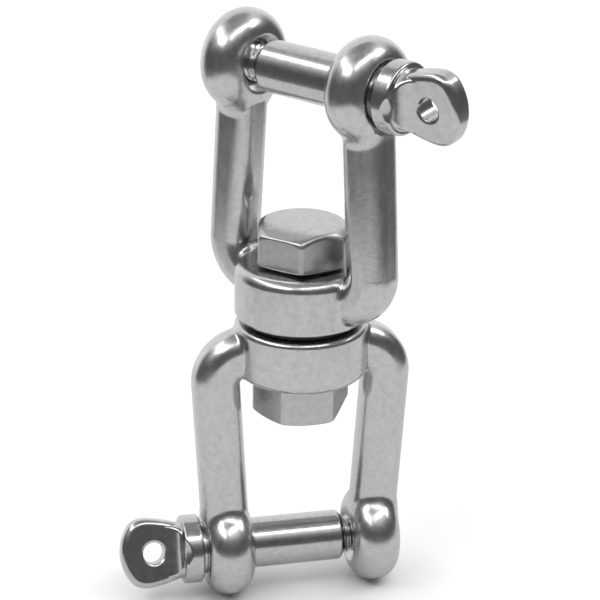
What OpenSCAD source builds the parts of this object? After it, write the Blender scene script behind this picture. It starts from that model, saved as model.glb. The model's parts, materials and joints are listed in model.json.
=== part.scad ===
// Jaw-and-jaw rigging swivel in polished stainless steel.
// Two forked castings turn on one hex bolt, and each fork closes with a screw pin.
// Millimetres. Origin at the middle of the upper clevis pin, +X along that pin towards
// its head, +Z up along the swivel axis.

/* [Overall] */
// Distance between the two clevis pins
pin_spacing = 78; // [70:1:92]
// Angle of the lower pin's head about the swivel axis, from the upper pin's head
lower_turn = 232.4; // [0:0.1:360]
// Gap between the two hubs, filled by the thrust washer
hub_gap = 1; // [0.6:0.1:2]

/* [Jaws] */
// Clear width between the two eyes of a jaw
jaw_gap = 16; // [14:0.5:17]
// Outside diameter of each hub
hub_d = 20.8; // [19:0.1:23]
// Height of each hub along the swivel axis
hub_h = 8.7; // [7.5:0.1:10]
// Rounding of the hub rim on the side of the jaw's own opening
hub_rim_in = 1.6; // [0.5:0.1:2]
// Rounding of the hub rim on the side of the gap
hub_rim_gap = 0.8; // [0.4:0.1:1.2]
// Leg thickness across the jaw
leg_t = 7.5; // [6.5:0.1:7.8]
// Leg width along the depth of the jaw
leg_w = 7; // [6:0.1:7.6]
// Rounding of a leg's four corners
leg_round_r = 3; // [1:0.1:3.4]
// How far the legs lean inwards from the bend to the eye
leg_lean = 1.7; // [0:0.1:3]
// Outer radius of the bend from hub to leg
bend_r = 8.9; // [8.5:0.1:11]
// Set-back of the bend from the hub's gap face
bend_inset = 0.8; // [0.3:0.1:2]
// Thickness of an eye along the pin
eye_t = 7.8; // [6.5:0.1:8.2]
// Outside diameter of an eye
eye_d = 15.8; // [14:0.1:18]
// Rounding of an eye's rim
eye_rim = 3.8; // [1:0.1:3.8]
// Diameter of the machined spot face under the pin's collar
spot_d = 11.6; // [11:0.1:13]
// Depth of that spot face
spot_h = 0.25; // [0.1:0.05:0.5]

/* [Clevis pins] */
// Diameter of a clevis pin's shank
pin_d = 8; // [7:0.1:9]
// Major diameter of a clevis pin's thread
thread_d = 6; // [5:0.1:7]
// Shank end, measured back from the far eye's inner face
shank_end = 0.9; // [0.5:0.1:2]
// Chamfer on the end of a clevis pin's shank
shank_chamfer = 0.8; // [0.3:0.1:1]
// Width of the relief groove where the shank enters the plain eye
relief_w = 0.6; // [0.55:0.05:1]
// Depth of the relief groove
relief_h = 0.2; // [0.1:0.05:0.4]
// Gap left between the collar and the eye when the pin is screwed in
collar_gap = 0.5; // [0.3:0.1:1]
// Diameter of a pin's collar
collar_d = 10.9; // [10:0.1:11.5]
// Thickness of a pin's collar
collar_t = 3; // [2:0.1:4]
// Length of a pin's flat ear beyond the collar
ear_l = 9.8; // [8:0.1:12]
// Width of the ear at its two corners
ear_w = 11.2; // [10:0.1:13]
// Width of the ear's neck at the collar
ear_neck = 8.6; // [6:0.1:9]
// Distance of the ear's two corners from the collar
ear_corner = 7; // [4.5:0.1:8]
// Radius of the ear's arched outer end
ear_arch_r = 7.6; // [6.6:0.1:9]
// Thickness of the ear between its milled flats
ear_t = 3.6; // [3:0.1:5]
// Diameter of the round neck between the collar and the ear's flats
neck_d = 9; // [8.8:0.1:9.2]
// Radius that the cutter leaves between each flat and the collar
ear_fillet_r = 3; // [2.8:0.1:3.4]
// Diameter of the hole for the seizing wire
wire_d = 3.5; // [2.5:0.1:4]
// Distance of the wire hole from the collar
wire_x = 4.6; // [3.5:0.1:5]
// Turn of the upper ear about its own pin
upper_ear_turn = 98; // [0:1:180]
// Turn of the lower ear about its own pin
lower_ear_turn = 112; // [0:1:180]

/* [Swivel bolt] */
// Diameter of the swivel bolt's shank
bolt_d = 8; // [7:0.1:9]
// Width across flats of the bolt head and the nut
hex_af = 13.5; // [13:0.1:14]
// Height of the bolt head
head_h = 6.1; // [4.5:0.1:6.5]
// Height of the chamfer round the top of the bolt head
head_chamfer = 1.4; // [0.8:0.1:2]
// Distance from the axis at which the bevel ground across one flat of the head starts
head_bevel_x = 3.9; // [3:0.1:5]
// Slope of that bevel
head_bevel_angle = 17; // [12:1:45]
// Height of the nut
nut_h = 6.7; // [5.5:0.1:7.5]
// Height of the chamfer round the outer end of the nut
nut_chamfer = 0.6; // [0.4:0.1:3]
// Distance from the axis at which the bevel ground across one corner of the nut starts
nut_bevel_x = 3.9; // [3:0.1:6]
// Slope of that bevel
nut_bevel_angle = 29; // [15:1:45]
// Thickness of the closed end of the nut
nut_floor = 0.6; // [0.5:0.1:1.5]
// Thickness of the washer under the bolt head
head_washer_t = 0.3; // [0.3:0.1:1]
// Diameter of the washer under the bolt head
head_washer_d = 11.4; // [11:0.1:12.5]
// Diameter of the thrust washer between the hubs
thrust_washer_d = 17.6; // [15:0.1:19]
// Turn of the bolt head about the swivel axis
head_turn = 8.2; // [-30:0.1:30]
// Turn of the nut about the swivel axis
nut_turn = -11; // [-30:0.1:30]

/* [Fits] */
// Radial clearance of each pin and of the bolt in its hole
run_fit = 0.05; // [0.02:0.01:0.1]
// Clearance between faces that slide past each other
face_fit = 0.05; // [0.02:0.01:0.1]

/* [Hidden] */
$fn = 72;
CAST = [0.80, 0.80, 0.81];
TURNED = [0.86, 0.86, 0.87];
DARK = [0.12, 0.12, 0.13];

// Heights in the jaw's own frame, whose origin is the middle of its pin
half_spacing = pin_spacing / 2;
gap_face_z = -half_spacing + hub_gap / 2;
hub_in_z = gap_face_z + hub_h;
bend_z = gap_face_z + bend_inset + bend_r;
// The bend's centre line, and where the leg starts and ends
bend_mid_r = bend_r - leg_t / 2;
eye_x = jaw_gap / 2 + eye_t / 2;
leg_x = eye_x + leg_lean;
leg_angle = atan2(leg_lean, -bend_z);
leg_l = norm([leg_lean, bend_z]);
arm_x = leg_x - bend_mid_r;
arm_z = bend_z - bend_mid_r;
eye_in = jaw_gap / 2;
eye_out = eye_in + eye_t;
hex_r = hex_af / 2 / cos(30);
// The chamfers of a hex block leave a round face this far inside its flats
hex_face_in = 0.4;
hex_face_r = hex_af / 2 - hex_face_in;
// Height of the chamfer round the seat of the bolt head and of the nut
seat_chamfer = 0.3;
// Seat turned in a jaw's floor, round the bolt head
seat_d = hub_d - 2 * hub_rim_in;
// Corner chamfer of a pin's collar
collar_edge = 0.35;
// How far inside a corner of the ear its arch ends, and the angle round the arch there
ear_round = 0.4;
arch_angle = asin((ear_w / 2 - ear_round) / ear_arch_r);
// Reach that certainly passes a wall it cuts
past = 1;
// Countersink of the tapped eye
sink_d = 9;
sink_h = (sink_d - thread_d) / 2;
// Where the collar and the ear of a pin start
collar_x = eye_out + collar_gap;
ear_x = collar_x + collar_t;
thread_end_x = -eye_out + shank_end;

// Points along an arc about c, from angle a0 to a1 in n steps
function arc(c, r, a0, a1, n) =
    [for (i = [0 : n]) let (a = a0 + (a1 - a0) * i / n) c + r * [cos(a), sin(a)]];

// ---- Castings, drawn in the jaw's own frame ----

// Section of a leg: a bar with four rounded corners, x across the jaw
module leg_section() {
    x = leg_t / 2 - leg_round_r;
    y = leg_w / 2 - leg_round_r;
    polygon(concat(
        arc([x, y], leg_round_r, 0, 90, 3),
        arc([-x, y], leg_round_r, 90, 180, 3),
        arc([-x, -y], leg_round_r, 180, 270, 3),
        arc([x, -y], leg_round_r, 270, 360, 3)));
}

module leg() {
    translate([leg_x, 0, bend_z])
        rotate([0, -leg_angle, 0])
            linear_extrude(height = leg_l)
                leg_section();
    translate([arm_x, 0, bend_z])
        rotate([90, 0, 0])
            rotate([0, 0, -90])
                rotate_extrude(angle = 90 + leg_angle)
                    translate([bend_mid_r, 0])
                        leg_section();
    translate([0, 0, arm_z])
        rotate([0, 90, 0])
            linear_extrude(height = arm_x)
                leg_section();
}

// An eye is a disc about the pin's axis with a rounded rim
module eye_blank() {
    r = eye_d / 2;
    translate([eye_in, 0, 0])
        rotate([0, 90, 0])
            rotate_extrude()
                polygon(concat([[0, 0]],
                    arc([r - eye_rim, eye_rim], eye_rim, -90, 0, 8),
                    arc([r - eye_rim, eye_t - eye_rim], eye_rim, 0, 90, 8),
                    [[0, eye_t]]));
}

module hub_blank() {
    r = hub_d / 2;
    translate([0, 0, gap_face_z])
        rotate_extrude()
            polygon(concat([[0, 0]],
                arc([r - hub_rim_gap, hub_rim_gap], hub_rim_gap, -90, 0, 5),
                arc([r - hub_rim_in, hub_h - hub_rim_in], hub_rim_in, 0, 90, 6),
                [[0, hub_h]]));
}

module jaw() {
    difference() {
        union() {
            hub_blank();
            for (s = [0, 1]) mirror([s, 0, 0]) {
                leg();
                eye_blank();
            }
        }
        // Flat seat for the bolt head or the nut, let into the foot of each leg
        translate([0, 0, hub_in_z])
            cylinder(d = seat_d, h = bend_z - hub_in_z);
        // Bolt bore
        translate([0, 0, gap_face_z - past])
            cylinder(d = bolt_d + 2 * run_fit, h = hub_h + 2 * past);
        // Plain bore at the head end, tapped and countersunk bore at the far end
        rotate([0, 90, 0])
            cylinder(d = pin_d + 2 * run_fit, h = eye_out + past);
        rotate([0, -90, 0])
            cylinder(d = thread_d + 2 * run_fit, h = eye_out + past);
        // Spot face for the collar
        translate([eye_out - spot_h, 0, 0])
            rotate([0, 90, 0])
                cylinder(d = spot_d, h = past);
        translate([-eye_in - sink_h, 0, 0])
            rotate([0, 90, 0])
                cylinder(d1 = thread_d + 2 * run_fit, d2 = sink_d + 2 * run_fit, h = sink_h);
    }
}

// ---- Clevis pin, drawn along +X towards its head ----

// Half the ear's width at a share t of the way from the neck to its corners
function ear_half(t) = (ear_neck + (ear_w - ear_neck) * sin(90 * t)) / 2;

// Outline of the flat ear: sides that swell from the neck to two corners, arched outer end
module ear_outline() {
    steps = 5;
    polygon(concat(
        [[-past, -ear_neck / 2]],
        [for (i = [0 : steps]) [ear_corner * i / steps, -ear_half(i / steps)]],
        arc([ear_l - ear_arch_r, 0], ear_arch_r, -arch_angle, arch_angle, 12),
        [for (i = [steps : -1 : 0]) [ear_corner * i / steps, ear_half(i / steps)]],
        [[-past, ear_neck / 2]]));
}

// Side view of the foot of the ear, which widens along the cutter's radius to the collar
module ear_foot() {
    top = ear_t / 2 + ear_fillet_r;
    polygon(concat(
        [[-past, -top]],
        arc([ear_fillet_r, -top], ear_fillet_r, 180, 90, 8),
        arc([ear_fillet_r, top], ear_fillet_r, -90, -180, 8),
        [[-past, top]]));
}

// Flat ear with its foot, drawn along +X from the collar's outer face
module ear() {
    translate([0, 0, -ear_t / 2])
        linear_extrude(height = ear_t)
            ear_outline();
    intersection() {
        rotate([90, 0, 0])
            linear_extrude(height = neck_d, center = true)
                ear_foot();
        translate([-past, 0, 0])
            rotate([0, 90, 0])
                cylinder(d = neck_d, h = ear_l);
    }
}

// Turned outline of a pin, along its axis from the shank's end to the collar's outer face
module pin_profile() {
    shank_r = pin_d / 2;
    collar_r = collar_d / 2;
    start = shank_end - eye_in;
    polygon([[0, start], [shank_r - shank_chamfer, start], [shank_r, start + shank_chamfer],
             [shank_r, eye_in], [shank_r - relief_h, eye_in],
             [shank_r - relief_h, eye_in + relief_w], [shank_r, eye_in + relief_w],
             [shank_r, collar_x], [collar_r - collar_edge, collar_x],
             [collar_r, collar_x + collar_edge], [collar_r, ear_x - collar_edge],
             [collar_r - collar_edge, ear_x], [0, ear_x]]);
}

module clevis_pin(ear_turn) {
    thread_l = shank_end - eye_in - thread_end_x;
    difference() {
        union() {
            rotate([90, 0, 90])
                rotate_extrude()
                    pin_profile();
            translate([thread_end_x, 0, 0])
                rotate([0, 90, 0])
                    cylinder(d = thread_d, h = thread_l + past);
            translate([ear_x, 0, 0])
                rotate([ear_turn, 0, 0])
                    ear();
        }
        // Wire hole
        translate([ear_x + wire_x, 0, 0])
            rotate([ear_turn, 0, 0])
                cylinder(d = wire_d, h = ear_t + 2 * past, center = true);
    }
}

// ---- Swivel hardware, drawn down from the inner face of the upper hub ----

// Hexagonal prism of height h. A cone at each end cuts its corners back by the chamfer's height
module hex_block(h, turn, chamfer) {
    cone_r = hex_r + past;
    slope = (cone_r - hex_face_r) / (hex_r - hex_face_r);
    intersection() {
        rotate([0, 0, turn])
            cylinder(r = hex_r, h = h, $fn = 6);
        rotate_extrude()
            polygon([[0, 0], [hex_face_r, 0], [cone_r, seat_chamfer * slope],
                     [cone_r, h - chamfer * slope], [hex_face_r, h], [0, h]]);
    }
}

// Removes what is above a slope that starts x from the axis at height h, in direction turn
module grind(h, turn, x, angle) {
    wide = 2 * hex_af;
    difference() {
        children();
        rotate([0, 0, turn])
            translate([x, -wide / 2, h])
                rotate([0, angle, 0])
                    cube(wide);
    }
}

module bolt_frame() {
    translate([0, 0, hub_in_z])
        children();
}

// Carries a part from the upper jaw's frame to the lower jaw's
module lower_frame() {
    translate([0, 0, -pin_spacing])
        rotate([0, 0, lower_turn])
            rotate([180, 0, 0])
                children();
}

// ---- One module per sub-part ----

module upper_jaw() {
    color(CAST) jaw();
}

module lower_jaw() {
    color(CAST) lower_frame() jaw();
}

module swivel_bolt() {
    below = 2 * hub_h + hub_gap + nut_h - nut_floor;
    color(TURNED) bolt_frame() {
        translate([0, 0, head_washer_t])
            grind(head_h, head_turn - 90, head_bevel_x, head_bevel_angle)
                hex_block(head_h, head_turn, head_chamfer);
        translate([0, 0, -below])
            cylinder(d = bolt_d, h = below + head_washer_t + past);
    }
}

module head_washer() {
    color(TURNED) bolt_frame()
        difference() {
            translate([0, 0, face_fit])
                cylinder(d = head_washer_d, h = head_washer_t - 2 * face_fit);
            translate([0, 0, -past])
                cylinder(d = bolt_d + 2 * run_fit, h = head_washer_t + 2 * past);
        }
}

module thrust_washer() {
    color(DARK) translate([0, 0, -half_spacing])
        difference() {
            cylinder(d = thrust_washer_d, h = hub_gap - 2 * face_fit, center = true);
            cylinder(d = bolt_d + 2 * run_fit, h = hub_gap + 2 * past, center = true);
        }
}

module swivel_nut() {
    color(TURNED) translate([0, 0, -pin_spacing - hub_in_z - face_fit])
        mirror([0, 0, 1])
            difference() {
                grind(nut_h, nut_turn + 60, nut_bevel_x, nut_bevel_angle)
                    hex_block(nut_h, nut_turn, nut_chamfer);
                translate([0, 0, -past])
                    cylinder(d = bolt_d, h = nut_h - nut_floor + past);
            }
}

module upper_clevis_pin() {
    color(TURNED) clevis_pin(upper_ear_turn);
}

module lower_clevis_pin() {
    color(TURNED) lower_frame() clevis_pin(lower_ear_turn);
}

upper_jaw();
lower_jaw();
swivel_bolt();
head_washer();
thrust_washer();
swivel_nut();
upper_clevis_pin();
lower_clevis_pin();
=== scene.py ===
"""Jaw-and-jaw rigging swivel: polished castings, screw pins, bolt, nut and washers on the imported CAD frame.

Each piece is a distance field in millimetres, meshed as a net that is pulled onto the field's surface.
"""

import json
import math
from functools import partial

import bpy
import numpy as np
from mathutils import Matrix, Vector


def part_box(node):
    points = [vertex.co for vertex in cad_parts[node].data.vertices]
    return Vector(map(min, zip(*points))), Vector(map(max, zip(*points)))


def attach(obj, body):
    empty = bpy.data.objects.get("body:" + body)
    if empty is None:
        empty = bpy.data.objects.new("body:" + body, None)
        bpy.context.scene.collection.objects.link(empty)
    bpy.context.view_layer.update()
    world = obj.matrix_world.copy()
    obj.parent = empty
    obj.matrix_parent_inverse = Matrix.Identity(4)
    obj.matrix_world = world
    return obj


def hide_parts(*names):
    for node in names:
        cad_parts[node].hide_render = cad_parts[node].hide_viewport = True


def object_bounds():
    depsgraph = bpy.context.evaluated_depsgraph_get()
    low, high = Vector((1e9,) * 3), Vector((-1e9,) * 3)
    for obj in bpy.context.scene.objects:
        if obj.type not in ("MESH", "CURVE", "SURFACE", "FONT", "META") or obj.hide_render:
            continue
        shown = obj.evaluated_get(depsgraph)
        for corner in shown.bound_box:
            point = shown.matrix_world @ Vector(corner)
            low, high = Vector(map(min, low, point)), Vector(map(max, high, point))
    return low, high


MM = 0.001

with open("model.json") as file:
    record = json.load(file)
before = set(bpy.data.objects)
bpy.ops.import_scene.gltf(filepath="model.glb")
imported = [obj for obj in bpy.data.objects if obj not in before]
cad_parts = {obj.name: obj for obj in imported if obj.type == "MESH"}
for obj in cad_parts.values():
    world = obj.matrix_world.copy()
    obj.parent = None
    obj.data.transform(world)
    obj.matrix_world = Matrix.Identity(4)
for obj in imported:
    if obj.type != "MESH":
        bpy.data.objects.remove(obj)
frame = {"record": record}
cad_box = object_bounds()


# ---- Sizes, in millimetres, read from the frame where it has them ----

def size_of(node):
    low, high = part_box(node)
    return (high - low) / MM


def mount(name):
    return next(m for m in frame["record"]["mounts"] if m["name"] == name)


PIN_R = mount("upper_pin")["dims"]["r_mm"]
WIRE_R = mount("upper_wire_hole")["dims"]["r_mm"]
EAR_T = mount("upper_wire_hole")["dims"]["length_mm"]
PIN_SPACING = -mount("lower_pin")["pos_m"][2] / MM
LOWER_TURN = math.atan2(-mount("lower_pin")["axis"][1], -mount("lower_pin")["axis"][0])
WIRE_X = mount("upper_wire_hole")["pos_m"][0] / MM

EYE_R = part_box("upper_jaw")[1].z / MM
HUB_R = size_of("upper_jaw").y / 2
BEND_X = size_of("upper_jaw").x / 2
HEAD_WASHER_T = size_of("head_washer").z
NUT_H = size_of("swivel_nut").z
EAR_END_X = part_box("upper_clevis_pin")[1].x / MM
THREAD_END_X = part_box("upper_clevis_pin")[0].x / MM
BOLT_TOP_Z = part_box("swivel_bolt")[1].z / MM
BOLT_END_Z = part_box("swivel_bolt")[0].z / MM
GAP_FACE_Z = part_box("upper_jaw")[0].z / MM
HEAD_SEAT_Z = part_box("head_washer")[0].z / MM
NUT_TOP_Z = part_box("swivel_nut")[1].z / MM

# Clearances round a shaft and between faces
RUN_FIT = 0.05
FACE_FIT = 0.05

# Castings
EYE_IN = 8.0
EYE_T = 7.8
EYE_RIM = 3.8
LEG_T = 7.5
LEG_W = 7.0
LEG_ROUND_R = 3.0
LEG_LEAN = 1.7
BEND_R = 8.9
BEND_INSET = 0.8
HUB_H = 8.7
HUB_RIM_IN = 1.6
HUB_RIM_GAP = 0.8
SPOT_R = 5.8
SPOT_H = 0.25
SINK_R = 4.5

# Fillets of a casting: leg to hub, and leg to eye, which fades out on the flat that the two share
HUB_FILLET = 0.7
EYE_FILLET = 1.3
FLAT_FILLET = 0.1
FLAT_HALF_W = 1.5
FLAT_FADE_W = 2.0
FLAT_FADE_T = 4.0

# Clevis pins
THREAD_R = 3.0
THREAD_PITCH = 1.0
THREAD_DEPTH = 0.55
THREAD_CHAMFER = 0.7
SHANK_CHAMFER = 0.8
SHANK_END = 0.9
RELIEF_W = 0.6
RELIEF_H = 0.2
COLLAR_GAP = 0.5
COLLAR_R = 5.45
COLLAR_T = 3.0
COLLAR_ROUND_R = 0.45
EAR_W = 11.2
EAR_NECK = 8.6
EAR_CORNER = 7.0
EAR_CORNER_ROUND = 1.2
EAR_ARCH_R = 7.6
EAR_BEVEL = 0.6
EAR_FILLET_R = 3.0
NECK_R = 4.5
WIRE_FLARE = 0.2

# Thread profile: height and fall of the ridge before its crest and root are cut flat at 1 and 0, and a
# scale that keeps the field no steeper than a distance
THREAD_CREST = 1.15
THREAD_SLOPE = 1.3
THREAD_FIELD = 0.6

# Swivel bolt and nut
BOLT_R = 4.0
HEX_AF = 13.5
HEX_EDGE = 0.5
HEX_FACE_IN = 0.4
CROWN = 0.12
SEAT_CHAMFER = 0.3
HEAD_CHAMFER = 1.4
HEAD_BEVEL_X = 3.9
HEAD_BEVEL_ANGLE = math.radians(17)
NUT_CHAMFER = 0.6
NUT_BEVEL_X = 3.9
NUT_BEVEL_ANGLE = math.radians(29)

# Turns of the ears about their pins, and of the hexagons about the swivel axis
UPPER_EAR_TURN = math.radians(98)
LOWER_EAR_TURN = math.radians(112)
HEAD_TURN = math.radians(8.2)
NUT_TURN = math.radians(-11)

# Widths over which other edges are rounded and inner corners filled
BROAD_EDGE = 0.4
EDGE = 0.3
SMALL_EDGE = 0.2
FINE_EDGE = 0.15
THIN_EDGE = 0.12
CRISP_EDGE = 0.1

# Reach that certainly passes a face that covers or cuts a shape
PAST = 1
# Turns the difference of two lengths across a 45 degree cone into the distance from it
COS_45 = math.sqrt(0.5)

EYE_OUT = EYE_IN + EYE_T
EYE_X = EYE_IN + EYE_T / 2
HUB_IN_Z = GAP_FACE_Z + HUB_H
BEND_Z = GAP_FACE_Z + BEND_INSET + BEND_R
BEND_MID_R = BEND_R - LEG_T / 2
LEG_X = EYE_X + LEG_LEAN
ARM_X = LEG_X - BEND_MID_R
ARM_Z = BEND_Z - BEND_MID_R
LEG_ANGLE = math.atan2(LEG_LEAN, -BEND_Z)
LEG_L = math.hypot(LEG_LEAN, BEND_Z)
COLLAR_X = EYE_OUT + COLLAR_GAP
EAR_X = COLLAR_X + COLLAR_T
SHANK_END_X = SHANK_END - EYE_IN
HEX_R = HEX_AF / 2 / math.cos(math.pi / 6)
HEX_FACE_R = HEX_AF / 2 - HEX_FACE_IN


# ---- Distance fields: negative inside, in millimetres ----

def join(a, b, blend):
    """Union whose inner corner is filled over the blend width."""
    h = np.maximum(blend - np.abs(a - b), 0) / blend
    return np.minimum(a, b) - h * h * blend / 4


def meet(a, b, blend):
    """Intersection whose edge is rounded over the blend width."""
    return -join(-a, -b, blend)


def cut(a, b, blend):
    """a without b, with the edge rounded."""
    return meet(a, -b, blend)


def rounded_box(u, v, half_u, half_v, radius):
    qu = np.abs(u) - half_u + radius
    qv = np.abs(v) - half_v + radius
    outside = np.hypot(np.maximum(qu, 0), np.maximum(qv, 0))
    return outside + np.minimum(np.maximum(qu, qv), 0) - radius


def hexagon(x, y, across_flats, turn):
    """A hexagon whose flats are slightly crowned by polishing and whose corners are rounded."""
    sides = []
    for k in range(3):
        a = turn + math.pi / 6 + k * math.pi / 3
        out = np.abs(x * math.cos(a) + y * math.sin(a))
        along = y * math.cos(a) - x * math.sin(a)
        sides.append(out - across_flats / 2 + CROWN * (along / across_flats * 2) ** 2)
    return meet(meet(sides[0], sides[1], HEX_EDGE), sides[2], HEX_EDGE)


def leg(x, y, z):
    """The legs' rounded bar swept along arm, bend and leaning leg, on both sides of the jaw."""
    along_x = np.abs(x)
    rise_x, rise_z = -math.sin(LEG_ANGLE), math.cos(LEG_ANGLE)
    leg_t = (along_x - LEG_X) * rise_x + (z - BEND_Z) * rise_z
    leg_u = (along_x - LEG_X) * rise_z - (z - BEND_Z) * rise_x
    bend_u = np.hypot(along_x - ARM_X, z - BEND_Z) - BEND_MID_R
    arm_u = ARM_Z - z
    bend_angle = np.arctan2(z - BEND_Z, along_x - ARM_X)
    in_bend = (along_x > ARM_X) & (bend_angle < LEG_ANGLE)
    inside_u = np.where(along_x > ARM_X, leg_u, np.maximum(arm_u, leg_u))
    u = np.where(in_bend, bend_u, inside_u)
    return np.maximum(rounded_box(u, y, LEG_T / 2, LEG_W / 2, LEG_ROUND_R), leg_t - LEG_L)


def eye(x, y, z):
    return rounded_box(np.hypot(y, z), np.abs(x) - EYE_X, EYE_R, EYE_T / 2, EYE_RIM)


def hub(x, y, z):
    rho = np.hypot(x, y)
    middle = GAP_FACE_Z + HUB_H / 2
    inside = rounded_box(rho, z - middle, HUB_R, HUB_H / 2, HUB_RIM_IN)
    gap_side = rounded_box(rho, z - middle, HUB_R, HUB_H / 2, HUB_RIM_GAP)
    return np.where(z > middle, inside, gap_side)


def eye_fillet(x, y):
    """Blend width between leg and eye: small on the flat inner face, and full round the rest."""
    off_inner_face = (np.abs(x) - EYE_X) / FLAT_FADE_T + 0.5
    off_middle = (np.abs(y) - FLAT_HALF_W) / FLAT_FADE_W
    off_flat = np.clip(np.maximum(off_inner_face, off_middle), 0, 1)
    return FLAT_FILLET + EYE_FILLET * off_flat**2 * (3 - 2 * off_flat)


def jaw(x, y, z):
    """A jaw casting in its own frame, where the origin is the middle of its pin."""
    rho = np.hypot(y, z)
    body = join(leg(x, y, z), eye(x, y, z), eye_fillet(x, y))
    body = join(body, hub(x, y, z), HUB_FILLET)
    bolt_bore = np.hypot(x, y) - BOLT_R - RUN_FIT
    body = cut(body, np.maximum(bolt_bore, z - HUB_IN_Z - PAST), EDGE)
    bore_r = np.where(x > 0, PIN_R, THREAD_R) + RUN_FIT
    body = cut(body, rho - bore_r, EDGE)
    spot = np.maximum(EYE_OUT - SPOT_H - x, rho - SPOT_R)
    body = cut(body, spot, THIN_EDGE)
    sink = np.maximum((rho - SINK_R - (x + EYE_IN)) * COS_45, x)
    return cut(body, sink, SMALL_EDGE)


def thread(x, rho, angle):
    """A helical thread with flattened crests along x."""
    phase = x / THREAD_PITCH - angle / (2 * math.pi)
    ridge = np.abs(phase - np.round(phase)) * 2
    crest = np.clip(THREAD_CREST - ridge * THREAD_SLOPE, 0, 1)
    return (rho - THREAD_R + THREAD_DEPTH * (1 - crest)) * THREAD_FIELD


def ear_outline(x, across):
    """Outline of the ear, x from the collar: sides that swell to two corners, and an arched end."""
    swell = np.sin(np.clip(x / EAR_CORNER, 0, 1) * math.pi / 2)
    sides = np.abs(across) - (EAR_NECK + (EAR_W - EAR_NECK) * swell) / 2
    centre = EAR_END_X - EAR_X - EAR_ARCH_R
    arch = np.hypot(x - centre, across) - EAR_ARCH_R
    return meet(sides, arch, EAR_CORNER_ROUND)


def ear_plate(x, y, z, turn):
    """The flat ear with bevelled edges, and its wire hole; turn is about the pin's axis."""
    across = y * math.cos(turn) + z * math.sin(turn)
    through = z * math.cos(turn) - y * math.sin(turn)
    outline = ear_outline(x - EAR_X, across)
    face = np.abs(through) - EAR_T / 2
    bevel = (outline + face + EAR_BEVEL) * COS_45
    plate = meet(meet(meet(outline, face, EDGE), bevel, EDGE), EAR_X - PAST - x, EDGE)
    hole = np.hypot(x - WIRE_X, across) - WIRE_R
    flare = (hole - WIRE_FLARE - face) * COS_45
    return plate, np.minimum(hole, flare)


def pin_head(x, y, z, turn):
    """Collar, ear, and the round foot that a cutter's radius has left between them."""
    rho = np.hypot(y, z)
    through = np.abs(z * math.cos(turn) - y * math.sin(turn))
    collar = rounded_box(x - COLLAR_X - COLLAR_T / 2, rho, COLLAR_T / 2, COLLAR_R, COLLAR_ROUND_R)
    plate, hole = ear_plate(x, y, z, turn)
    off_axis = np.minimum(through - EAR_T / 2 - EAR_FILLET_R, 0)
    past_fillet = x - EAR_X - EAR_FILLET_R
    foot = meet(EAR_FILLET_R - np.hypot(np.minimum(past_fillet, 0), off_axis), rho - NECK_R, EDGE)
    foot = np.maximum(np.maximum(foot, past_fillet), EAR_X - PAST - x)
    return cut(join(np.minimum(plate, foot), collar, EDGE), hole, SMALL_EDGE)


def pin(x, y, z, turn):
    """A clevis pin along +x: thread, chamfered shank, relief groove, collar and ear."""
    rho = np.hypot(y, z)
    shank = np.maximum(rho - PIN_R, SHANK_END_X - x)
    tip = (rho - PIN_R + SHANK_END_X + SHANK_CHAMFER - x) * COS_45
    shank = meet(meet(shank, tip, SMALL_EDGE), x - COLLAR_X - PAST, SMALL_EDGE)
    groove = np.maximum(np.abs(x - EYE_IN - RELIEF_W / 2) - RELIEF_W / 2, PIN_R - RELIEF_H - rho)
    shank = cut(shank, groove, CRISP_EDGE)
    threaded = np.maximum(thread(x, rho, np.arctan2(z, y)), x - SHANK_END_X - PAST)
    end = (rho - THREAD_R + THREAD_END_X + THREAD_CHAMFER - x) * COS_45
    threaded = meet(meet(threaded, THREAD_END_X - x, FINE_EDGE), end, FINE_EDGE)
    return np.minimum(join(shank, pin_head(x, y, z, turn), EDGE), threaded)


def hex_block(x, y, z, height, turn, chamfer):
    """A hexagon from z = 0 up, chamfered lightly below and by the given height above."""
    rho = np.hypot(x, y)
    width = HEX_R - HEX_FACE_R
    prism = meet(hexagon(x, y, HEX_AF, turn), np.abs(z - height / 2) - height / 2, BROAD_EDGE)
    top = (z - height + (rho - HEX_FACE_R) * chamfer / width) / math.hypot(1, chamfer / width)
    foot = (-z + (rho - HEX_FACE_R) * SEAT_CHAMFER / width) / math.hypot(1, SEAT_CHAMFER / width)
    return meet(meet(prism, top, BROAD_EDGE), foot, FINE_EDGE)


def grind(block, x, y, z, height, turn, start, angle):
    """The block without what is above a slope that starts at that height and distance from the axis."""
    out = x * math.cos(turn) + y * math.sin(turn)
    slope = (z - height) * math.cos(angle) + (out - start) * math.sin(angle)
    return meet(block, slope, EDGE)


def bolt(x, y, z):
    """Hex head with a bevel ground across one flat, and the plain shank below it."""
    height = BOLT_TOP_Z - HEAD_SEAT_Z - HEAD_WASHER_T - FACE_FIT
    up = z - BOLT_TOP_Z + height
    head = hex_block(x, y, up, height, HEAD_TURN, HEAD_CHAMFER)
    head = grind(head, x, y, up, height, HEAD_TURN - math.pi / 2, HEAD_BEVEL_X, HEAD_BEVEL_ANGLE)
    shank = np.maximum(np.hypot(x, y) - BOLT_R, z - BOLT_TOP_Z + PAST)
    shank = meet(shank, BOLT_END_Z - z, BROAD_EDGE)
    return join(head, shank, SMALL_EDGE)


def nut(x, y, z):
    """Closed nut, drawn down from its seat, with one corner of its outer end ground off."""
    down = NUT_TOP_Z - z
    block = hex_block(x, y, down, NUT_H, NUT_TURN, NUT_CHAMFER)
    block = grind(block, x, y, down, NUT_H, NUT_TURN + math.pi / 3, NUT_BEVEL_X, NUT_BEVEL_ANGLE)
    bore = np.maximum(np.hypot(x, y) - BOLT_R, BOLT_END_Z - RUN_FIT - z)
    return cut(block, bore, FINE_EDGE)


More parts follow.
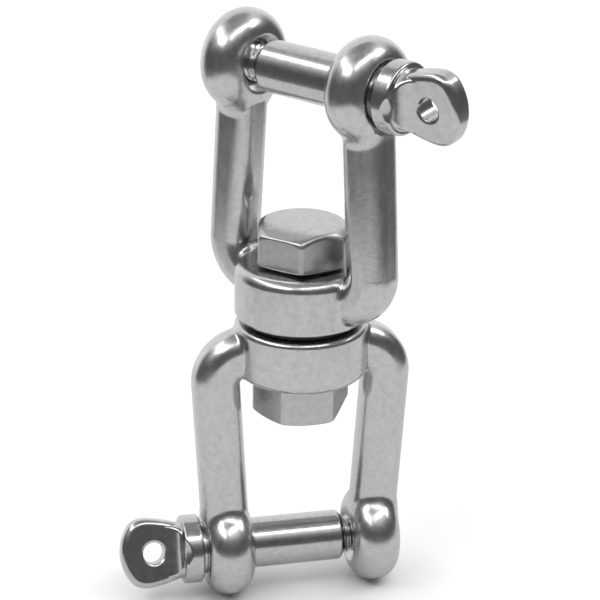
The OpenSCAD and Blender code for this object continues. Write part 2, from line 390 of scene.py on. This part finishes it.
def washer(x, y, z, radius, thickness, centre_z):
    rho = np.hypot(x, y)
    disc = rounded_box(rho, z - centre_z, radius, thickness / 2, min(THIN_EDGE, thickness / 2))
    return cut(disc, rho - BOLT_R - RUN_FIT, CRISP_EDGE)


# ---- Meshing ----

# Grid layers worked out at a time, and how often the net is pulled onto the surface
SLAB = 16
PULLS = 3
# Where the field is flatter than this squared slope, a pull is held back
LEAST_REACH = 0.25


def field_values(field, axes):
    """The field on the grid, one slab at a time to keep memory low."""
    xs, ys, zs = axes
    out = np.empty((len(xs), len(ys), len(zs)), np.float32)
    for i in range(0, len(xs), SLAB):
        grid = np.meshgrid(xs[i : i + SLAB], ys, zs, indexing="ij")
        out[i : i + SLAB] = field(*grid)
    return out


def net_points(values, axes, cell):
    """One point per cell that the surface crosses: the mean of its edge crossings."""
    inside = values < 0
    corners = [(i, j, k) for i in (0, 1) for j in (0, 1) for k in (0, 1)]
    shape = tuple(n - 1 for n in values.shape)

    def corner(grid, c):
        return grid[c[0] : c[0] + shape[0], c[1] : c[1] + shape[1], c[2] : c[2] + shape[2]]

    count = sum(corner(inside, c).astype(np.int8) for c in corners)
    cells = np.argwhere((count > 0) & (count < len(corners)))
    total = np.zeros((len(cells), 3))
    crossings = np.zeros(len(cells))
    for a in corners:
        for axis in range(3):
            if a[axis]:
                continue
            b = list(a)
            b[axis] = 1
            va = values[tuple((cells + a).T)]
            vb = values[tuple((cells + b).T)]
            crossed = (va < 0) != (vb < 0)
            share = np.where(crossed, va / np.where(crossed, va - vb, 1), 0)
            point = np.tile(np.array(a, float), (len(cells), 1))
            point[:, axis] += share
            total[crossed] += point[crossed]
            crossings += crossed
    low = np.array([a[0] for a in axes])
    return cells, low + (cells + total / crossings[:, None]) * cell


def net_faces(values, cells):
    """One quad round every grid edge that the surface crosses, wound outwards."""
    shape = tuple(n - 1 for n in values.shape)
    index = np.full(shape, -1, np.int64)
    index[tuple(cells.T)] = np.arange(len(cells))
    inside = values < 0
    quads = []
    for axis in range(3):
        u, v = (axis + 1) % 3, (axis + 2) % 3
        first = np.moveaxis(inside, axis, 0)
        edges = np.moveaxis(first[:-1] != first[1:], 0, axis)
        at = np.argwhere(edges)
        at = at[(at[:, u] > 0) & (at[:, v] > 0) & (at[:, u] < shape[u]) & (at[:, v] < shape[v])]
        ring = []
        for du, dv in ((-1, -1), (0, -1), (0, 0), (-1, 0)):
            c = at.copy()
            c[:, u] += du
            c[:, v] += dv
            ring.append(index[tuple(c.T)])
        quad = np.stack(ring, 1)
        outward = inside[tuple(at.T)]
        quads.append(np.where(outward[:, None], quad, quad[:, ::-1]))
    return np.concatenate(quads)


def gradient(field, points, step):
    out = np.empty_like(points)
    for axis in range(3):
        shift = np.zeros(3)
        shift[axis] = step
        out[:, axis] = field(*(points + shift).T) - field(*(points - shift).T)
    return out / (2 * step)


def mesh_of(name, field, low, high, cell):
    """A smooth-shaded mesh of the field's surface inside the box low to high."""
    axes = [np.arange(a - cell, b + 2 * cell, cell) for a, b in zip(low, high)]
    values = field_values(field, axes)
    cells, points = net_points(values, axes, cell)
    for _ in range(PULLS):
        slope = gradient(field, points, cell / 6)
        reach = np.maximum((slope**2).sum(1), LEAST_REACH)
        step = field(*points.T) / reach
        points -= np.clip(step, -cell / 2, cell / 2)[:, None] * slope
    normals = gradient(field, points, cell / 4)
    normals /= np.maximum(np.linalg.norm(normals, axis=1), 1e-9)[:, None]
    mesh = bpy.data.meshes.new(name)
    mesh.from_pydata((points * MM).tolist(), [], net_faces(values, cells).tolist())
    mesh.shade_smooth()
    mesh.normals_split_custom_set_from_vertices(normals.tolist())
    return mesh


# ---- Materials ----

CAST_LIGHT = (0.61, 0.61, 0.615)
TURNED_LIGHT = (0.575, 0.575, 0.575)
# Brightness of a steel's mottling, as a share of its light colour
MOTTLED = 0.84
BLACK_DARK = (0.012, 0.012, 0.013)
BLACK_LIGHT = (0.03, 0.03, 0.032)


class Shader:
    """A material's node tree with short calls for the nodes used here."""

    def __init__(self, name):
        self.material = bpy.data.materials.new(name)
        self.material.use_nodes = True
        self.tree = self.material.node_tree
        self.surface = self.tree.nodes["Principled BSDF"]
        self.place = self.node("ShaderNodeTexCoord").outputs["Object"]

    def node(self, kind, **settings):
        made = self.tree.nodes.new(kind)
        for key, value in settings.items():
            if key in made.inputs:
                made.inputs[key].default_value = value
            else:
                setattr(made, key, value)
        return made

    def noise(self, size_mm, detail=2.0, stretch=(1, 1, 1)):
        """Noise from 0 to 1 with features about size_mm wide, drawn out along an axis by stretch."""
        spread = self.node("ShaderNodeMapping")
        spread.inputs["Scale"].default_value = [1 / (size_mm * MM * k) for k in stretch]
        made = self.node("ShaderNodeTexNoise", Scale=1.0, Detail=detail, Roughness=0.55)
        self.tree.links.new(self.place, spread.inputs["Vector"])
        self.tree.links.new(spread.outputs["Vector"], made.inputs["Vector"])
        return made.outputs["Fac"]

    def remap(self, value, low, high, from_low=0.3, from_high=0.7):
        made = self.node("ShaderNodeMapRange")
        span = (("From Min", from_low), ("From Max", from_high), ("To Min", low), ("To Max", high))
        for key, number in span:
            made.inputs[key].default_value = number
        self.tree.links.new(value, made.inputs["Value"])
        return made.outputs["Result"]

    def add(self, a, b):
        made = self.node("ShaderNodeMath", operation="ADD")
        self.tree.links.new(a, made.inputs[0])
        self.tree.links.new(b, made.inputs[1])
        return made.outputs["Value"]

    def tint(self, value, dark, light):
        """A colour between dark and light, linked to Base Color."""
        made = self.node("ShaderNodeMix", data_type="RGBA")
        made.inputs["A"].default_value = (*dark, 1)
        made.inputs["B"].default_value = (*light, 1)
        self.tree.links.new(value, made.inputs["Factor"])
        self.tree.links.new(made.outputs["Result"], self.surface.inputs["Base Color"])

    def bump(self, height_mm):
        """height_mm is a socket that gives the surface's height in millimetres."""
        made = self.node("ShaderNodeBump", Strength=1.0, Distance=MM)
        self.tree.links.new(height_mm, made.inputs["Height"])
        self.tree.links.new(made.outputs["Normal"], self.surface.inputs["Normal"])

    def rough(self, value):
        self.tree.links.new(value, self.surface.inputs["Roughness"])


def steel(name, light, ripple_mm, pit_mm, rough, stretch=(1, 1, 1)):
    """Polished stainless: a slow ripple, fine pits, mottling and patches of duller polish.

    rough is the roughness of the brightest and of the dullest patches.
    """
    shader = Shader(name)
    shader.surface.inputs["Metallic"].default_value = 1.0
    slow = shader.noise(size_mm=3.5, detail=1.0, stretch=stretch)
    ripple = shader.remap(slow, -ripple_mm, ripple_mm, from_low=0, from_high=1)
    fine = shader.noise(size_mm=0.55, detail=4.0)
    pits = shader.remap(fine, -pit_mm, 0, from_low=0.2, from_high=0.5)
    shader.bump(shader.add(ripple, pits))
    patches = shader.noise(size_mm=1.6, detail=4.0, stretch=stretch)
    shader.rough(shader.remap(patches, *rough))
    mottling = shader.noise(size_mm=0.9, detail=5.0)
    shader.tint(shader.remap(mottling, 0, 1), [c * MOTTLED for c in light], light)
    return shader.material


def black_acetal():
    """Matte black plastic with a faint moulded grain and scuffs."""
    shader = Shader("black_acetal")
    grain = shader.noise(size_mm=0.3, detail=3.0)
    shader.bump(shader.remap(grain, -0.01, 0.01))
    scuffs = shader.noise(size_mm=1.2, detail=4.0)
    shader.rough(shader.remap(scuffs, 0.4, 0.6))
    clouds = shader.noise(size_mm=0.8, detail=4.0)
    shader.tint(shader.remap(clouds, 0, 1), BLACK_DARK, BLACK_LIGHT)
    return shader.material


def pale(name, shade):
    """Matt white board of about that brightness."""
    shader = Shader(name)
    clouds = shader.noise(size_mm=40.0)
    shader.tint(shader.remap(clouds, 0, 1), [shade] * 3, [shade + 0.02] * 3)
    tooth = shader.noise(size_mm=20.0)
    shader.rough(shader.remap(tooth, 0.85, 0.95))
    return shader.material


cast_steel = steel(
    "cast_stainless", CAST_LIGHT, ripple_mm=0.013, pit_mm=0.004, rough=(0.18, 0.29), stretch=(1, 1, 3)
)
turned_steel = steel("turned_stainless", TURNED_LIGHT, ripple_mm=0.012, pit_mm=0.003, rough=(0.14, 0.23))
forged_steel = steel("forged_stainless", TURNED_LIGHT, ripple_mm=0.014, pit_mm=0.005, rough=(0.27, 0.37))
acetal = black_acetal()


# ---- Pieces ----

# Grid cell of each mesh, in millimetres
JAW_CELL = 0.25
PIN_CELL = 0.15
HEX_CELL = 0.14
HEAD_WASHER_CELL = 0.06
THRUST_CELL = 0.12

# Carries a mesh from the upper jaw's frame to the lower jaw's
LOWER_PLACE = (
    Matrix.Translation((0, 0, -PIN_SPACING * MM))
    @ Matrix.Rotation(LOWER_TURN, 4, "Z")
    @ Matrix.Rotation(math.pi, 4, "X")
)


def piece(name, mesh, body, node, material, place=None):
    """Places a mesh in the frame as the piece that stands for a CAD node."""
    if place is not None:
        mesh.transform(place)
    obj = bpy.data.objects.new(name, mesh)
    bpy.context.scene.collection.objects.link(obj)
    obj.data.materials.clear()
    obj.data.materials.append(material)
    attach(obj, body)
    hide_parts(node)


def make_jaws():
    low = (-BEND_X - PAST, -HUB_R, GAP_FACE_Z)
    high = (BEND_X + PAST, HUB_R, EYE_R)
    mesh = mesh_of("jaw", jaw, low, high, JAW_CELL)
    other = mesh.copy()
    piece("upper_jaw_casting", mesh, "upper_jaw", "upper_jaw", cast_steel)
    piece("lower_jaw_casting", other, "lower_jaw", "lower_jaw", cast_steel, LOWER_PLACE)


def make_pin(side, turn, place):
    low = (THREAD_END_X, -EAR_W / 2, -EAR_W / 2)
    high = (EAR_END_X, EAR_W / 2, EAR_W / 2)
    mesh = mesh_of(side + "_pin", partial(pin, turn=turn), low, high, PIN_CELL)
    node = side + "_clevis_pin"
    piece(side + "_screw_pin", mesh, side + "_pin", node, turned_steel, place)


def make_hex(name, field, node, bottom, top):
    """The bolt or the nut. Both ride on the bolt's body."""
    mesh = mesh_of(name, field, (-HEX_R, -HEX_R, bottom), (HEX_R, HEX_R, top), HEX_CELL)
    piece(name, mesh, "swivel_bolt", node, forged_steel)


def make_washer(name, node, cell, material):
    low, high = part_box(node)
    radius = size_of(node).x / 2
    thickness = size_of(node).z
    centre_z = (low.z + high.z) / 2 / MM
    field = partial(washer, radius=radius, thickness=thickness, centre_z=centre_z)
    mesh = mesh_of(name, field, (-radius, -radius, low.z / MM), (radius, radius, high.z / MM), cell)
    piece(name, mesh, node, node, material)


make_jaws()
make_pin("upper", UPPER_EAR_TURN, None)
make_pin("lower", LOWER_EAR_TURN, LOWER_PLACE)
make_hex("swivel_hex_bolt", bolt, "swivel_bolt", BOLT_END_Z, BOLT_TOP_Z)
make_hex("swivel_closed_nut", nut, "swivel_nut", NUT_TOP_Z - NUT_H, NUT_TOP_Z)
make_washer("bolt_head_washer", "head_washer", HEAD_WASHER_CELL, turned_steel)
make_washer("thrust_washer_ring", "thrust_washer", THRUST_CELL, acetal)


# ---- Studio: lengths in metres, and the lens and sensor in millimetres ----

# Where the camera stands, as radians round from the -y axis and degrees above the horizon
CAMERA_AZIMUTH = math.radians(39.2)
CAMERA_ELEVATION = 22.5
CAMERA_ROLL = math.radians(0.75)
CAMERA_DISTANCE = 0.3397
CAMERA_LENS = 131.7
CAMERA_SHIFT_Y = 0.0026
SENSOR_WIDTH = 36
CLIP_START = 0.01
# The point that the camera and the soft boxes face
TARGET = Vector((-0.2, -0.15, -36.6)) * MM

# The floor: half its side, its height just under the object, and its brightness
FLOOR_HALF = 8
FLOOR_Z = cad_box[0].z - 0.2 * MM
FLOOR_SHADE = 0.9

# The paper under the object: round in front, long behind, and just clear of the floor
PAPER_FRONT_R = 0.233
PAPER_HALF_W = 0.165
PAPER_BACK = 2.0
PAPER_STEPS = 24
PAPER_LIFT = 0.1 * MM
PAPER_SHADE = 0.7

# Soft boxes: name, degrees round and above, width and height in degrees, radiance
SOFTBOX_DISTANCE = 1.2
SOFTBOXES = (
    ("softbox_left", -82, 50, 46, 9, 3.5),
    ("softbox_left_front", -46, 47, 34, 16, 3.0),
    ("softbox_front", 38, 60, 46, 8, 4.5),
    ("softbox_right", 97, 44, 18, 18, 4.0),
)
OVERHEAD_ENERGY = 0.8
OVERHEAD_ANGLE = math.radians(90)

# The walls round the set, as (degrees above the horizon, brightness)
FRONT_WALL = (
    (-90, 0.2), (-20, 0.15), (-14, 0.12), (-9, 0.15), (22, 0.12),
    (38, 0.3), (47, 0.85), (60, 0.75), (70, 0.35),
)
SIDE_WALL = (
    (-90, 0.3), (-20, 0.2), (-12, 0.14), (12, 0.12),
    (25, 0.27), (40, 0.8), (54, 0.9), (66, 0.5),
)
BACK_WALL = (
    (-90, 0.9), (-30, 1.05), (0, 1.1), (49, 1.0),
    (53, 0.3), (60, 0.38), (90, 0.3),
)
# Middle of the front wall, in degrees round from the camera, and how far from there the side walls and the
# back wall begin, with half the width over which each fades in
FRONT_MIDDLE = 13
SIDE_BEGINS = (76, 10)
BACK_BEGINS = (128, 16)


def studio_direction(azimuth, elevation):
    """Unit vector at degrees round from the camera's side, to its right, and degrees above the horizon."""
    a = CAMERA_AZIMUTH + math.radians(azimuth)
    e = math.radians(elevation)
    return Vector((math.sin(a) * math.cos(e), -math.cos(a) * math.cos(e), math.sin(e)))


def stand(name, data):
    """A new object of that data, linked to the scene."""
    obj = bpy.data.objects.new(name, data)
    bpy.context.scene.collection.objects.link(obj)
    return obj


def make_camera():
    data = bpy.data.cameras.new("camera")
    data.lens = CAMERA_LENS
    data.sensor_width = SENSOR_WIDTH
    data.clip_start = CLIP_START
    data.shift_y = CAMERA_SHIFT_Y
    camera = stand("camera", data)
    away = studio_direction(0, CAMERA_ELEVATION)
    roll = Matrix.Rotation(CAMERA_ROLL, 3, "Z").to_quaternion()
    camera.rotation_mode = "QUATERNION"
    camera.rotation_quaternion = (-away).to_track_quat("-Z", "Y") @ roll
    camera.location = TARGET + away * CAMERA_DISTANCE
    bpy.context.scene.camera = camera


def board(name, outline, material):
    """A flat board of that outline, which isn't part of the object."""
    mesh = bpy.data.meshes.new(name)
    mesh.from_pydata(outline, [], [range(len(outline))])
    mesh.materials.append(material)
    obj = stand(name, mesh)
    return obj


def make_floor():
    signs = ((-1, -1), (1, -1), (1, 1), (-1, 1))
    corners = [(x * FLOOR_HALF, y * FLOOR_HALF, FLOOR_Z) for x, y in signs]
    floor = board("floor", corners, pale("pale_floor", FLOOR_SHADE))
    floor.visible_glossy = False


def make_paper():
    """The white sheet that the object's reflections see in place of the floor."""
    outline = [
        (PAPER_HALF_W, 0, 0),
        (PAPER_HALF_W, PAPER_BACK, 0),
        (-PAPER_HALF_W, PAPER_BACK, 0),
        (-PAPER_HALF_W, 0, 0),
    ]
    for step in range(1, PAPER_STEPS):
        a = math.pi * step / PAPER_STEPS
        outline.append((-PAPER_HALF_W * math.cos(a), -PAPER_FRONT_R * math.sin(a), 0))
    paper = board("paper", outline, pale("paper", PAPER_SHADE))
    paper.location.z = FLOOR_Z + PAPER_LIFT
    paper.rotation_euler.z = CAMERA_AZIMUTH
    for ray in ("camera", "diffuse", "transmission", "shadow"):
        setattr(paper, "visible_" + ray, False)


def make_softbox(name, azimuth, elevation, width_deg, height_deg, radiance):
    """An area light that fills that many degrees, seen from the object."""
    width = 2 * SOFTBOX_DISTANCE * math.tan(math.radians(width_deg / 2))
    height = 2 * SOFTBOX_DISTANCE * math.tan(math.radians(height_deg / 2))
    data = bpy.data.lights.new(name, "AREA")
    data.shape = "RECTANGLE"
    data.size = width
    data.size_y = height
    data.energy = radiance * math.pi * width * height
    way = studio_direction(azimuth, elevation)
    lamp = stand(name, data)
    lamp.location = TARGET + way * SOFTBOX_DISTANCE
    lamp.rotation_mode = "QUATERNION"
    lamp.rotation_quaternion = way.to_track_quat("Z", "Y")


def make_overhead():
    """Light from all round that evens out the floor and shows in no reflection."""
    data = bpy.data.lights.new("overhead", "SUN")
    data.energy = OVERHEAD_ENERGY
    data.angle = OVERHEAD_ANGLE
    stand("overhead", data).visible_glossy = False


def wall_ramp(tree, elevation, stops):
    """Brightness by elevation, from a colour ramp over the whole half circle."""
    share = tree.nodes.new("ShaderNodeMapRange")
    share.inputs["From Min"].default_value = -math.pi / 2
    share.inputs["From Max"].default_value = math.pi / 2
    tree.links.new(elevation, share.inputs["Value"])
    ramp = tree.nodes.new("ShaderNodeValToRGB")
    ramp.color_ramp.interpolation = "LINEAR"
    while len(ramp.color_ramp.elements) < len(stops):
        ramp.color_ramp.elements.new(1.0)
    for element, (angle, light) in zip(ramp.color_ramp.elements, stops):
        element.position = (angle + 90) / 180
        element.color = (light, light, light, 1)
    tree.links.new(share.outputs["Result"], ramp.inputs["Fac"])
    return ramp.outputs["Color"]


def studio_world():
    """A dim wall in front of the object, on the camera's side, and a pale one behind it."""
    world = bpy.data.worlds.new("studio")
    world.use_nodes = True
    tree = world.node_tree

    def math_node(operation, *values):
        made = tree.nodes.new("ShaderNodeMath")
        made.operation = operation
        for slot, value in zip(made.inputs, values):
            if isinstance(value, (int, float)):
                slot.default_value = value
            else:
                tree.links.new(value, slot)
        return made.outputs["Value"]

    turned = tree.nodes.new("ShaderNodeVectorRotate")
    turned.rotation_type = "Z_AXIS"
    turned.inputs["Angle"].default_value = math.pi / 2 - CAMERA_AZIMUTH
    tree.links.new(tree.nodes.new("ShaderNodeTexCoord").outputs["Generated"], turned.inputs["Vector"])
    parts = tree.nodes.new("ShaderNodeSeparateXYZ")
    tree.links.new(turned.outputs["Vector"], parts.inputs["Vector"])
    elevation = math_node("ARCSINE", parts.outputs["Z"])
    azimuth = math_node("ARCTAN2", parts.outputs["Y"], parts.outputs["X"])

    def beyond(limit, soft):
        """1 where the azimuth is further than limit degrees from the middle of the front wall."""
        off_middle = math_node("ABSOLUTE", math_node("SUBTRACT", azimuth, math.radians(FRONT_MIDDLE)))
        share = tree.nodes.new("ShaderNodeMapRange")
        share.interpolation_type = "SMOOTHSTEP"
        share.inputs["From Min"].default_value = math.radians(limit - soft)
        share.inputs["From Max"].default_value = math.radians(limit + soft)
        tree.links.new(off_middle, share.inputs["Value"])
        return share.outputs["Result"]

    def blend(share, near, far):
        walls = tree.nodes.new("ShaderNodeMix")
        walls.data_type = "RGBA"
        tree.links.new(share, walls.inputs["Factor"])
        tree.links.new(near, walls.inputs["A"])
        tree.links.new(far, walls.inputs["B"])
        return walls.outputs["Result"]

    front, side, back = (wall_ramp(tree, elevation, wall) for wall in (FRONT_WALL, SIDE_WALL, BACK_WALL))
    walls = blend(beyond(*BACK_BEGINS), blend(beyond(*SIDE_BEGINS), front, side), back)
    tree.links.new(walls, tree.nodes["Background"].inputs["Color"])
    return world


make_camera()
make_floor()
for box in SOFTBOXES:
    make_softbox(*box)
make_overhead()
make_paper()
bpy.context.scene.world = studio_world()
bpy.context.scene.view_settings.view_transform = "Standard"
